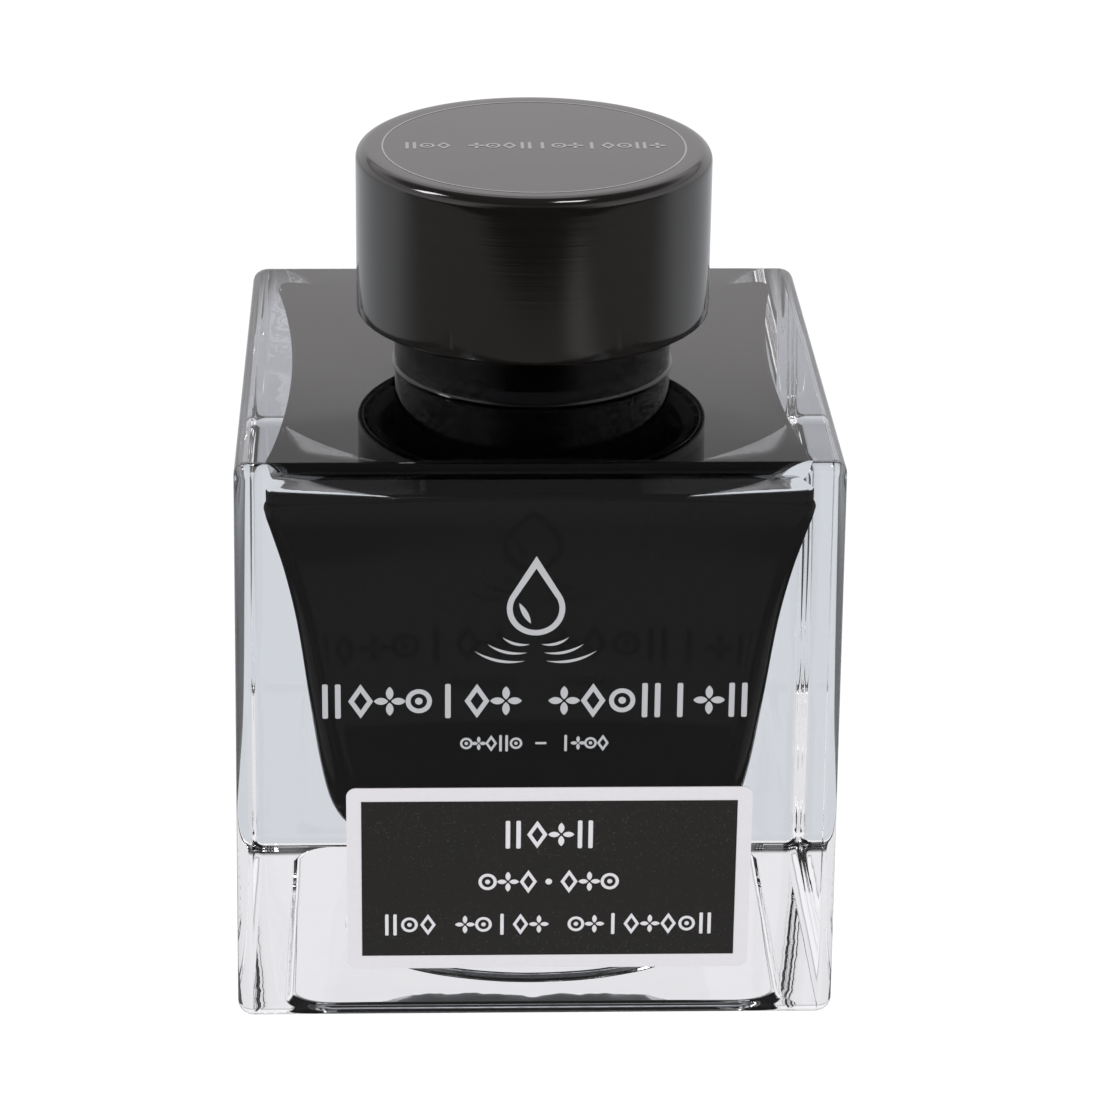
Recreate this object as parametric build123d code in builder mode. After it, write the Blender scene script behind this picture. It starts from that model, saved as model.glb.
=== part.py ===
from build123d import *
import math
import os

os.makedirs("parts", exist_ok=True)

# ---- driving dimensions (mm) -------------------------------------------------------------
# glass block
FOOT_W = 54.2          # width and depth at the foot
DRAFT_IN = 0.6         # each side leans in by this from foot to shoulder
BLOCK_H = 53.95        # foot to shoulder
CORNER_R = 2.4         # upright corners, at the foot
TOP_EDGE_R = 1.1       # shoulder edge
FOOT_EDGE_R = 1.2      # foot edge
# neck and screw finish
NECK_D = 25.3          # thread root
THREAD_DEPTH = 1.05    # root to crest
NECK_WALL = 2.95       # root to bore
NECK_FOOT_R = 0.9      # sweep of the neck into the shoulder
LIP_R = 0.7            # rounding of the mouth, outside and inside
LEAD = 25.4 / 6        # six turns to the inch, one start
NECK_TURNS = 1.25      # turns of thread on the neck
INSERT_TURNS = 1.3     # turns of thread in the cap
THREAD_START = 2.2     # rim to the top of the thread
THREAD_CLEARANCE = 0.25
# cap
CAP_WALL = 2.4         # thread crest to the outside of the cap
CAP_H = 15.2
CAP_LIFT_GAP = 5.25    # shoulder to the bottom edge of the cap
SHELL_T = 0.6
CAP_EDGE_R = 1.0
INSERT_TOP_T = 1.3
INSERT_SET_UP = 0.35   # the insert stops this far above the bottom edge of the shell
RIB_COUNT = 36
RIB_H = 0.4
LINER_T = 1.1
LINER_CLEARANCE = 0.08
# chamber
SHOULDER_T = 2.95      # glass above the chamber
FLOOR_T = 13.2         # glass below the chamber
INK_GAP = 0.02         # ink surface to glass
POCKET_OUT = 1.1       # the air in the corners starts this far outside the shoulder half width
POCKET_DEPTH = 0.4
# foot
FOOT_RIM = 4.4         # side of the foot to the square recess
RECESS_DEPTH = 0.7
RECESS_R = 4.0
RECESS_LEAN = 35       # degrees that the sides of the recess lean in
PUNT_RIM = 9.6         # side of the foot to the round push-up in the recess
PUNT_DEPTH = 0.5       # from the roof of the recess
STUD_IN = 2.6          # edge of the push-up to the ring of studs
STUD_COUNT = 28
STUD_R = 0.55
STUD_H = 0.4
# label and print
LABEL_W = 36.2
LABEL_H = 18.1
LABEL_T = 0.10
LABEL_R = 0.85
LABEL_X = 1.05         # the label sits a little to one side
LABEL_BOTTOM = 5.25
BORDER = 1.32          # paper left round the printed panel
PRINT_T = 0.03
PRINT_X = -0.35        # middle of the print on the glass
PRINT_ROW_W = 37.35    # wide row of the print on the glass
CAP_RING_IN = 2.35     # side of the cap to the printed ring
CAP_RING_LINE = 0.15

# ---- derived -----------------------------------------------------------------------------
TAPER = math.degrees(math.atan(DRAFT_IN / BLOCK_H))
SHOULDER_W = FOOT_W - 2 * DRAFT_IN
THREAD_D = NECK_D + 2 * THREAD_DEPTH
BORE_D = NECK_D - 2 * NECK_WALL
CAP_D = THREAD_D + 2 * CAP_WALL
CAP_BOTTOM = BLOCK_H + CAP_LIFT_GAP
CAP_TOP = CAP_BOTTOM + CAP_H
SHELL_IN_R = CAP_D / 2 - SHELL_T
INSERT_TOP = CAP_TOP - SHELL_T
LINER_TOP = INSERT_TOP - INSERT_TOP_T
RIM = LINER_TOP - LINER_T
INSERT_BORE_R = THREAD_D / 2 + THREAD_CLEARANCE
INSERT_CREST_R = NECK_D / 2 + THREAD_CLEARANCE
INSERT_BOTTOM = CAP_BOTTOM + INSERT_SET_UP
CEILING = BLOCK_H - SHOULDER_T
CHAMBER_H = CEILING - FLOOR_T
NECK_THREAD_Z = RIM - THREAD_START - NECK_TURNS * LEAD
INSERT_THREAD_Z = NECK_THREAD_Z - LEAD / 2
RECESS_W = FOOT_W - 2 * FOOT_RIM
PUNT_R = FOOT_W / 2 - PUNT_RIM
PUNT_ROOF = RECESS_DEPTH + PUNT_DEPTH
POCKET_R = SHOULDER_W / 2 + POCKET_OUT
LABEL_MID = LABEL_BOTTOM + LABEL_H / 2
PANEL_W = LABEL_W - 2 * BORDER
PANEL_H = LABEL_H - 2 * BORDER
EMBLEM_Z = BLOCK_H * 0.750
WIDE_ROW_Z = BLOCK_H * 0.590
SMALL_ROW_Z = BLOCK_H * 0.5134

# the chamber in plan, from the ceiling down: share of the chamber height, glass outside the
# corners, extra glass at mid side, corner radius
CHAMBER_UPPER = [
    (0.0, 2.25, 2.1, 1.0),
    (0.034, 2.35, 2.1, 1.0),
    (0.09, 2.85, 2.05, 1.2),
    (0.20, 3.85, 1.9, 1.5),
    (0.345, 4.8, 1.75, 1.9),
    (0.57, 5.8, 1.5, 2.4),
    (0.78, 6.85, 1.3, 3.0),
]
CHAMBER_LOWER = [
    (0.78, 6.85, 1.3, 3.0),
    (0.89, 7.9, 1.1, 3.8),
    (0.958, 9.8, 0.8, 4.4),
    (1.0, 12.6, 0.6, 4.4),
]

FRONT = Plane(
    origin=(0, -FOOT_W / 2, 0),
    x_dir=(1, 0, 0),
    z_dir=(0, -math.cos(math.radians(TAPER)), math.sin(math.radians(TAPER))),
)


def plan(wall, bow, radius, inset=0.0):
    """Draw one chamber section in the open sketch: four inward bows with rounded corners."""
    c = SHOULDER_W / 2 - wall - inset
    m = c - bow
    with BuildLine() as outline:
        ThreePointArc((-c, -c), (0, -m), (c, -c))
        ThreePointArc((c, -c), (m, 0), (c, c))
        ThreePointArc((c, c), (0, m), (-c, c))
        ThreePointArc((-c, c), (-m, 0), (-c, -c))
    make_face(outline.edges())
    fillet(vertices(), radius)


def trapezoid(root_w, crest_w, inner, outer, base_at_inner):
    """Draw a thread section in the open sketch; x runs outward from the axis, y runs up."""
    wide = root_w / 2
    thin = crest_w / 2
    a = wide if base_at_inner else thin
    b = thin if base_at_inner else wide
    with BuildLine() as outline:
        Polyline((inner, -a), (outer, -b), (outer, b), (inner, a), close=True)
    make_face(outline.edges())


def leaf(length, width, angle, x, y, mode=Mode.ADD):
    """Draw a pointed leaf in the open sketch."""
    turn = math.radians(angle)
    ux = math.cos(turn)
    uy = math.sin(turn)
    h = length / 2
    w = width / 2
    a = (x - ux * h, y - uy * h)
    b = (x + ux * h, y + uy * h)
    with BuildLine() as outline:
        ThreePointArc(a, (x - uy * w, y + ux * w), b)
        ThreePointArc(b, (x + uy * w, y - ux * w), a)
    make_face(outline.edges(), mode=mode)


def bar(width, height, x, y, mode=Mode.ADD):
    """Draw a bar with soft corners in the open sketch."""
    with Locations((x, y)):
        RectangleRounded(width, height, min(width, height) * 0.3, mode=mode)


def lozenge(width, height, x, y, mode=Mode.ADD):
    """Draw an upright lozenge in the open sketch."""
    with BuildLine() as outline:
        Polyline(
            (x - width / 2, y), (x, y - height / 2), (x + width / 2, y), (x, y + height / 2),
            close=True,
        )
    make_face(outline.edges(), mode=mode)


def ornament(pattern, step, height, x, y, mode=Mode.ADD):
    """Draw a centred row of ornaments; every character of the pattern is one place in the row.

    o ring with a dot, v open lozenge, * four petals, H two bars, i one bar, . dot, - dash.
    """
    back = Mode.SUBTRACT if mode == Mode.ADD else Mode.ADD
    start = x - step * (len(pattern) - 1) / 2
    line = height * 0.13
    for i, mark in enumerate(pattern):
        px = start + i * step
        if mark == "o":
            with Locations((px, y)):
                Circle(height * 0.35, mode=mode)
                Circle(height * 0.35 - line, mode=back)
                Circle(height * 0.10, mode=mode)
        elif mark == "v":
            lozenge(height * 0.66, height, px, y, mode)
            lozenge(height * 0.66 - 2.4 * line, height - 3.6 * line, px, y, back)
        elif mark == "*":
            for angle in (0, 90, 180, 270):
                turn = math.radians(angle)
                reach = height * 0.23
                leaf(height * 0.38, height * 0.20, angle,
                     px + reach * math.cos(turn), y + reach * math.sin(turn), mode)
        elif mark == "H":
            bar(line * 1.15, height, px - height * 0.17, y, mode)
            bar(line * 1.15, height, px + height * 0.17, y, mode)
        elif mark == "i":
            bar(line * 1.15, height, px, y, mode)
        elif mark == ".":
            with Locations((px, y)):
                Circle(height * 0.13, mode=mode)
        elif mark == "-":
            bar(height * 0.62, line, px, y, mode)


# ---- glass bottle ------------------------------------------------------------------------
with BuildPart() as glass_bottle:
    with BuildSketch(Plane.XY):
        RectangleRounded(FOOT_W, FOOT_W, CORNER_R)
    extrude(amount=BLOCK_H, taper=TAPER)
    fillet(faces().sort_by(Axis.Z)[-1].edges(), TOP_EDGE_R)
    fillet(faces().sort_by(Axis.Z)[0].edges(), FOOT_EDGE_R)
    # neck
    with BuildSketch(Plane.XZ):
        with BuildLine():
            Polyline(
                (0, BLOCK_H - 1.5),
                (NECK_D / 2, BLOCK_H - 1.5),
                (NECK_D / 2, RIM),
                (0, RIM),
                close=True,
            )
        make_face()
    revolve(axis=Axis.Z)
    neck_foot = edges().filter_by(GeomType.CIRCLE).filter_by(
        lambda e: abs(e.center().Z - BLOCK_H) < 0.01 and abs(e.radius - NECK_D / 2) < 0.01
    )
    fillet(neck_foot, NECK_FOOT_R)
    # chamber
    for share, wall, bow, radius in CHAMBER_UPPER:
        with BuildSketch(Plane.XY.offset(CEILING - share * CHAMBER_H)):
            plan(wall, bow, radius)
    loft(mode=Mode.SUBTRACT)
    for share, wall, bow, radius in CHAMBER_LOWER:
        with BuildSketch(Plane.XY.offset(CEILING - share * CHAMBER_H)):
            plan(wall, bow, radius)
    loft(mode=Mode.SUBTRACT)
    # mouth
    with BuildSketch(Plane.XY.offset(CEILING - 0.5)):
        Circle(BORE_D / 2)
    extrude(amount=RIM - CEILING + 1.0, mode=Mode.SUBTRACT)
    lip = edges().filter_by(GeomType.CIRCLE).filter_by(
        lambda e: abs(e.center().Z - RIM) < 0.01
    )
    fillet(lip, LIP_R)
    throat = edges().filter_by(GeomType.CIRCLE).filter_by(
        lambda e: abs(e.center().Z - CEILING) < 0.01 and abs(e.radius - BORE_D / 2) < 0.01
    )
    fillet(throat, 0.8)
    # screw thread on the neck
    with BuildLine() as neck_path:
        Helix(LEAD, NECK_TURNS * LEAD, NECK_D / 2, center=(0, 0, NECK_THREAD_Z))
    with BuildSketch(Plane(origin=(0, 0, NECK_THREAD_Z), x_dir=(1, 0, 0), z_dir=(0, -1, 0))):
        trapezoid(2.5, 1.1, NECK_D / 2 - 0.2, THREAD_D / 2, True)
    sweep(path=neck_path.line, is_frenet=True)
    # the two ends of the thread run out into the neck
    end_angle = 360 * NECK_TURNS
    for at, sign, z in (
        (0, 1, NECK_THREAD_Z),
        (end_angle, -1, NECK_THREAD_Z + NECK_TURNS * LEAD),
    ):
        with Locations(Location((0, 0, z), (0, 0, at))):
            with Locations((NECK_D / 2 + 0.01 + 2.0, sign * 2.6, 0)):
                Box(4.0, 5.6, LEAD * 0.84, mode=Mode.SUBTRACT)
    # square recess under the foot with a round push-up in it and a ring of small studs
    with BuildSketch(Plane.XY):
        RectangleRounded(RECESS_W, RECESS_W, RECESS_R)
    extrude(amount=RECESS_DEPTH, taper=RECESS_LEAN, mode=Mode.SUBTRACT)
    with BuildSketch(Plane.XY.offset(RECESS_DEPTH / 2)):
        Circle(PUNT_R)
    extrude(amount=PUNT_ROOF - RECESS_DEPTH / 2, mode=Mode.SUBTRACT)
    with BuildSketch(Plane.XY.offset(PUNT_ROOF - STUD_H)):
        with PolarLocations(PUNT_R - STUD_IN, STUD_COUNT):
            Circle(STUD_R)
    extrude(amount=STUD_H + 0.4)
glass_bottle.part.label = "glass_bottle"
export_step(glass_bottle.part, "parts/glass_bottle.step")

# ---- ink ---------------------------------------------------------------------------------
with BuildPart() as ink_fill:
    for share, wall, bow, radius in CHAMBER_UPPER:
        down = INK_GAP if share == 0.0 else 0.0
        with BuildSketch(Plane.XY.offset(CEILING - share * CHAMBER_H - down)):
            plan(wall, bow, radius, INK_GAP)
    loft()
    for share, wall, bow, radius in CHAMBER_LOWER:
        up = INK_GAP if share == 1.0 else 0.0
        with BuildSketch(Plane.XY.offset(CEILING - share * CHAMBER_H + up)):
            plan(wall, bow, radius, INK_GAP)
    loft()
    # air held in the four corners under the ceiling
    with BuildSketch(Plane.XY.offset(CEILING - POCKET_DEPTH)):
        Rectangle(SHOULDER_W, SHOULDER_W)
        Circle(POCKET_R, mode=Mode.SUBTRACT)
    extrude(amount=POCKET_DEPTH + 1, mode=Mode.SUBTRACT)
ink_fill.part.label = "ink_fill"
export_step(ink_fill.part, "parts/ink_fill.step")

# ---- label paper -------------------------------------------------------------------------
with BuildPart() as label_paper:
    with BuildSketch(FRONT):
        with Locations((LABEL_X, LABEL_MID)):
            RectangleRounded(LABEL_W, LABEL_H, LABEL_R)
    extrude(amount=LABEL_T)
label_paper.part.label = "label_paper"
export_step(label_paper.part, "parts/label_paper.step")

# ---- printed panel on the label ----------------------------------------------------------
with BuildPart() as label_print:
    with BuildSketch(FRONT.offset(LABEL_T)):
        with Locations((LABEL_X, LABEL_MID)):
            Rectangle(PANEL_W, PANEL_H)
        for marks, step, height, up in (
            ("Hv*H", 0.064, 0.200, 0.285),
            ("o*v.v*o", 0.0545, 0.155, -0.020),
            ("Hov *oiv* o*iv*voH", 0.0497, 0.155, -0.298),
        ):
            ornament(
                marks, step * PANEL_W, min(height * PANEL_H, step * PANEL_W * 1.3),
                LABEL_X, LABEL_MID + up * PANEL_H, Mode.SUBTRACT,
            )
    extrude(amount=PRINT_T)
label_print.part.label = "label_print"
export_step(label_print.part, "parts/label_print.step")

# ---- print on the glass ------------------------------------------------------------------
with BuildPart() as glass_print:
    with BuildSketch(FRONT):
        # a falling drop in outline over rings on the surface
        for size, mode in ((1.0, Mode.ADD), (0.80, Mode.SUBTRACT)):
            r = 2.55 * size
            tip = 5.85 * size
            base = EMBLEM_Z + 0.2
            reach_y = r * r / tip
            reach_x = r * math.sqrt(1 - (r / tip) ** 2)
            with BuildLine():
                ThreePointArc(
                    (PRINT_X + reach_x, base + reach_y),
                    (PRINT_X, base - r),
                    (PRINT_X - reach_x, base + reach_y),
                )
                Line((PRINT_X - reach_x, base + reach_y), (PRINT_X, base + tip - 0.9))
                Line((PRINT_X, base + tip - 0.9), (PRINT_X + reach_x, base + reach_y))
            make_face(mode=mode)
        leaf(2.2, 0.5, 118, PRINT_X - 0.95, EMBLEM_Z - 0.25)
        for half, drop, lift in ((2.9, 3.15, 0.6), (4.2, 3.95, 0.75), (5.35, 4.75, 0.9)):
            y = EMBLEM_Z - drop
            for s in (-1, 1):
                with BuildLine():
                    ThreePointArc(
                        (PRINT_X + s * half, y + lift),
                        (PRINT_X + s * half * 0.62, y + 0.12),
                        (PRINT_X + s * half * 0.18, y - 0.05),
                    )
                    ThreePointArc(
                        (PRINT_X + s * half * 0.18, y - 0.05),
                        (PRINT_X + s * half * 0.62, y - 0.14),
                        (PRINT_X + s * half, y + lift),
                    )
                make_face()
        ornament("Hv*oiv* *voHi*H", PRINT_ROW_W / 14.6, PRINT_ROW_W / 11.3, PRINT_X, WIDE_ROW_Z)
        ornament("o*vHo - i*ov", PRINT_ROW_W / 34, PRINT_ROW_W / 23.6, PRINT_X, SMALL_ROW_Z)
    extrude(amount=PRINT_T)
glass_print.part.label = "glass_print"
export_step(glass_print.part, "parts/glass_print.step")

# ---- cap shell ---------------------------------------------------------------------------
with BuildPart() as cap_shell:
    with BuildSketch(Plane.XY.offset(CAP_BOTTOM)):
        Circle(CAP_D / 2)
    extrude(amount=CAP_H)
    fillet(edges().filter_by(GeomType.CIRCLE).sort_by(Axis.Z)[-1], CAP_EDGE_R)
    with BuildSketch(Plane.XY.offset(CAP_BOTTOM)):
        Circle(SHELL_IN_R)
    extrude(amount=CAP_H - SHELL_T, mode=Mode.SUBTRACT)
    inner = edges().filter_by(GeomType.CIRCLE).filter_by(
        lambda e: abs(e.center().Z - INSERT_TOP) < 0.01 and abs(e.radius - SHELL_IN_R) < 0.01
    )
    fillet(inner, 0.4)
    hem = edges().filter_by(GeomType.CIRCLE).filter_by(
        lambda e: abs(e.center().Z - CAP_BOTTOM) < 0.01
    )
    fillet(hem, 0.24)
cap_shell.part.label = "cap_shell"
export_step(cap_shell.part, "parts/cap_shell.step")

# ---- cap insert --------------------------------------------------------------------------
with BuildPart() as cap_insert:
    with BuildSketch(Plane.XY.offset(INSERT_BOTTOM)):
        Circle(SHELL_IN_R - RIB_H)
        with PolarLocations(SHELL_IN_R - RIB_H / 2 - 0.1, RIB_COUNT):
            Rectangle(RIB_H + 0.6, 0.7)
    extrude(amount=INSERT_TOP - INSERT_BOTTOM)
    # trim the ribs to the inside of the shell, with a bevelled top edge
    with BuildSketch(Plane.XZ):
        with BuildLine():
            Polyline(
                (SHELL_IN_R, INSERT_BOTTOM - 1),
                (SHELL_IN_R + 2, INSERT_BOTTOM - 1),
                (SHELL_IN_R + 2, INSERT_TOP + 1),
                (SHELL_IN_R - 1.6, INSERT_TOP + 1),
                (SHELL_IN_R - 0.6, INSERT_TOP),
                (SHELL_IN_R, INSERT_TOP - 0.6),
                close=True,
            )
        make_face()
    revolve(axis=Axis.Z, mode=Mode.SUBTRACT)
    with BuildSketch(Plane.XY.offset(INSERT_BOTTOM)):
        Circle(INSERT_BORE_R)
    extrude(amount=LINER_TOP - INSERT_BOTTOM, mode=Mode.SUBTRACT)
    # lead-in at the open end
    with BuildSketch(Plane.XZ):
        with BuildLine():
            Polyline(
                (INSERT_BORE_R - 1, INSERT_BOTTOM - 0.4),
                (INSERT_BORE_R + 0.8, INSERT_BOTTOM - 0.2),
                (INSERT_BORE_R + 0.6, INSERT_BOTTOM),
                (INSERT_BORE_R, INSERT_BOTTOM + 0.6),
                (INSERT_BORE_R - 1, INSERT_BOTTOM + 0.6),
                close=True,
            )
        make_face()
    revolve(axis=Axis.Z, mode=Mode.SUBTRACT)
    # small bead that holds the liner in its seat
    with BuildSketch(Plane.XZ):
        with BuildLine():
            Polyline(
                (INSERT_BORE_R + 0.2, RIM - 1.0),
                (INSERT_BORE_R - 0.25, RIM - 0.55),
                (INSERT_BORE_R - 0.25, RIM - 0.35),
                (INSERT_BORE_R + 0.2, RIM - 0.1),
                close=True,
            )
        make_face()
    revolve(axis=Axis.Z)
    # screw thread
    with BuildLine() as insert_path:
        Helix(LEAD, INSERT_TURNS * LEAD, INSERT_BORE_R, center=(0, 0, INSERT_THREAD_Z))
    with BuildSketch(Plane(origin=(0, 0, INSERT_THREAD_Z), x_dir=(1, 0, 0), z_dir=(0, -1, 0))):
        trapezoid(1.7, 0.8, INSERT_CREST_R, INSERT_BORE_R + 0.2, False)
    sweep(path=insert_path.line, is_frenet=True)
    # the two ends of the thread run out into the bore
    span = math.degrees(math.acos(INSERT_CREST_R / INSERT_BORE_R))
    insert_end = 360 * INSERT_TURNS
    for at, sign, z in (
        (span, -1, INSERT_THREAD_Z + 0.15),
        (insert_end - span, 1, INSERT_THREAD_Z + INSERT_TURNS * LEAD - 0.15),
    ):
        with Locations(Location((0, 0, z), (0, 0, at))):
            with Locations((INSERT_CREST_R - 2.0, sign * 3.0, 0)):
                Box(4.0, 6.0, LEAD * 0.66, mode=Mode.SUBTRACT)
cap_insert.part.label = "cap_insert"
export_step(cap_insert.part, "parts/cap_insert.step")

# ---- cap liner ---------------------------------------------------------------------------
with BuildPart() as cap_liner:
    with BuildSketch(Plane.XY.offset(RIM)):
        Circle(INSERT_BORE_R - LINER_CLEARANCE)
    extrude(amount=LINER_T)
    fillet(edges().filter_by(GeomType.CIRCLE), 0.15)
cap_liner.part.label = "cap_liner"
export_step(cap_liner.part, "parts/cap_liner.step")

# ---- print on the cap --------------------------------------------------------------------
with BuildPart() as cap_top_print:
    with BuildSketch(Plane.XY.offset(CAP_TOP)):
        Circle(CAP_D / 2 - CAP_RING_IN)
        Circle(CAP_D / 2 - CAP_RING_IN - CAP_RING_LINE, mode=Mode.SUBTRACT)
        ornament("Hov *ovHio*ivoH*", CAP_D * 0.046, CAP_D * 0.0606, 0, 0)
    extrude(amount=PRINT_T)
cap_top_print.part.label = "cap_top_print"
export_step(cap_top_print.part, "parts/cap_top_print.step")

print("rim", RIM, "cap top", CAP_TOP, "lead", LEAD)
print("chamber ml", ink_fill.part.volume / 1000)
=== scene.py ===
"""Looks for a square glass ink bottle with a label on its front and a round screw cap.

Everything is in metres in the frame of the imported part: +Z up through the cap, the labelled
front toward -Y. The heavy glass, the ink and the cap shell are modelled here again with clean
surfaces, because glass shows every facet; the other nodes keep their shape and are dressed.
"""

import logging
import math
from dataclasses import dataclass, field
from enum import Enum
from typing import Callable, Iterable, Sequence

import bmesh
import bpy
from mathutils import Matrix, Vector


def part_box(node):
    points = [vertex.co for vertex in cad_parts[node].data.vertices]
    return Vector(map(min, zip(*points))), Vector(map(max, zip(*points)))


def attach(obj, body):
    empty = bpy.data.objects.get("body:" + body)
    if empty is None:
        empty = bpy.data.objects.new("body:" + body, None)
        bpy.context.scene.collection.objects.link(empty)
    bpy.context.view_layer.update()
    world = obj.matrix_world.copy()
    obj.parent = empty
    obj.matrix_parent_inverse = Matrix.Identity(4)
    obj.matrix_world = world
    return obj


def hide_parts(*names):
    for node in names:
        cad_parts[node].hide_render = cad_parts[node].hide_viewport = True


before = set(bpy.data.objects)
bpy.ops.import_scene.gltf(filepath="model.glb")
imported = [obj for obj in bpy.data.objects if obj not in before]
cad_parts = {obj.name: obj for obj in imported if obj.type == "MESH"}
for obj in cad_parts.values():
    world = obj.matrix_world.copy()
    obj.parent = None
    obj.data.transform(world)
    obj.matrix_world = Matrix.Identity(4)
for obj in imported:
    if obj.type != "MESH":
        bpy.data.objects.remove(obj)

LOG = logging.getLogger("ink_bottle")
MM = 0.001
Ring = list[Vector]
Outline = list[tuple[float, float]]


class Body(Enum):
    """The moving bodies of the part."""

    BOTTLE = "bottle"
    LINER = "liner"
    CAP = "cap"


class Cut(Enum):
    """How one solid is combined with another."""

    JOIN = "UNION"
    TAKE_AWAY = "DIFFERENCE"
    KEEP_SHARED = "INTERSECT"


# ---- modelling helpers -------------------------------------------------------------------
def only(obj: bpy.types.Object) -> None:
    """Make this the one selected and active object.

    Args:
        obj: The object to work on.
    """
    bpy.ops.object.select_all(action="DESELECT")
    obj.select_set(True)
    bpy.context.view_layer.objects.active = obj


def rename(obj: bpy.types.Object, name: str) -> bpy.types.Object:
    """Give an object and its mesh one name.

    Args:
        obj: The object.
        name: The new name.

    Returns:
        The same object.
    """
    obj.name = name
    obj.data.name = name
    return obj


def settle(obj: bpy.types.Object) -> None:
    """Put the object's place into its mesh, so that it sits at the origin, unturned.

    Args:
        obj: The object to settle.
    """
    only(obj)
    bpy.ops.object.transform_apply(location=True, rotation=True, scale=True)


def stack(name: str, rings: Sequence[Ring]) -> bpy.types.Object:
    """Extrude a closed outline through a row of rings and close both ends.

    Args:
        name: The name of the new object.
        rings: Outlines with equal counts of points, in order along the form.

    Returns:
        A closed mesh with its faces outward.
    """
    bpy.ops.object.select_all(action="DESELECT")
    bpy.ops.mesh.primitive_circle_add(vertices=len(rings[0]), radius=MM, fill_type="NGON")
    obj = rename(bpy.context.object, name)
    bpy.ops.object.mode_set(mode="EDIT")
    mesh = bmesh.from_edit_mesh(obj.data)
    slot = mesh.verts.layers.int.new("slot")
    mesh.faces.ensure_lookup_table()
    for i, corner in enumerate(mesh.faces[0].loops):
        corner.vert[slot] = i
        corner.vert.co = rings[0][i]
    bmesh.update_edit_mesh(obj.data)
    for ring in rings[1:]:
        bpy.ops.mesh.extrude_region_move()
        mesh = bmesh.from_edit_mesh(obj.data)
        slot = mesh.verts.layers.int["slot"]
        for vert in mesh.verts:
            if vert.select:
                vert.co = ring[vert[slot]]
        bmesh.update_edit_mesh(obj.data)
    bpy.ops.mesh.select_all(action="SELECT")
    bpy.ops.mesh.normals_make_consistent(inside=False)
    bpy.ops.object.mode_set(mode="OBJECT")
    obj.data.attributes.remove(obj.data.attributes["slot"])
    return obj


def circle(radius: float, z: float, count: int) -> Ring:
    """Points of a level circle round the upright axis.

    Args:
        radius: Its radius in millimetres.
        z: Its height in millimetres.
        count: How many points.

    Returns:
        The points in metres.
    """
    step = math.tau / count
    return [
        Vector((radius * math.cos(i * step), radius * math.sin(i * step), z)) * MM
        for i in range(count)
    ]


def turned(name: str, outline: Outline, count: int = 160) -> bpy.types.Object:
    """Make a turned form from its outline of radius and height.

    Args:
        name: The name of the new object.
        outline: Radius and height in millimetres, from one end to the other.
        count: How many points round.

    Returns:
        The closed turned mesh.
    """
    return stack(name, [circle(radius, z, count) for radius, z in outline])


def bend(cr: float, cz: float, radius: float, start: float, end: float, steps: int) -> Outline:
    """Points of an arc in an outline.

    Args:
        cr: Radius coordinate of the arc's middle.
        cz: Height of the arc's middle.
        radius: The arc's radius.
        start: First angle in degrees, from straight out, turning up.
        end: Last angle in degrees.
        steps: How many steps.

    Returns:
        The points as radius and height.
    """
    turns = [math.radians(start + (end - start) * i / steps) for i in range(steps + 1)]
    return [(cr + radius * math.cos(t), cz + radius * math.sin(t)) for t in turns]


def choose(obj: bpy.types.Object, kind: str, test: Callable) -> None:
    """Select, in edit mode, the vertices, edges or faces that pass a test.

    Args:
        obj: The object in edit mode.
        kind: One of VERT, EDGE and FACE.
        test: Takes the element and says whether it is chosen.
    """
    bpy.ops.mesh.select_mode(type=kind)
    bpy.ops.mesh.select_all(action="DESELECT")
    mesh = bmesh.from_edit_mesh(obj.data)
    for item in {"VERT": mesh.verts, "EDGE": mesh.edges, "FACE": mesh.faces}[kind]:
        item.select_set(bool(test(item)))
    mesh.select_flush_mode()
    bmesh.update_edit_mesh(obj.data)


def combine(obj: bpy.types.Object, tool: bpy.types.Object, cut: Cut) -> None:
    """Join a tool to a solid or take it away, and delete the tool.

    Args:
        obj: The solid that stays.
        tool: The solid that is used up.
        cut: Whether to join or take away.
    """
    only(obj)
    step = obj.modifiers.new("combine", "BOOLEAN")
    step.operation = cut.value
    step.solver = "EXACT"
    step.object = tool
    bpy.ops.object.modifier_apply(modifier=step.name)
    bpy.data.objects.remove(tool)


def polish(obj: bpy.types.Object, angle: float = 38.0) -> None:
    """Shade smooth with crisp edges, and keep broad faces truly flat beside their roundings.

    Args:
        obj: The finished mesh.
        angle: Edges sharper than this many degrees stay crisp.
    """
    only(obj)
    bpy.ops.object.shade_smooth_by_angle(angle=math.radians(angle))
    step = obj.modifiers.new("flat_faces", "WEIGHTED_NORMAL")
    step.mode = "FACE_AREA"
    step.weight = 50
    step.keep_sharp = True
    bpy.ops.object.modifier_apply(modifier=step.name)


def dress(obj: bpy.types.Object, material: bpy.types.Material) -> None:
    """Give an object one material in place of any it has.

    Args:
        obj: The object.
        material: Its new material.
    """
    obj.data.materials.clear()
    obj.data.materials.append(material)


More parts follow.
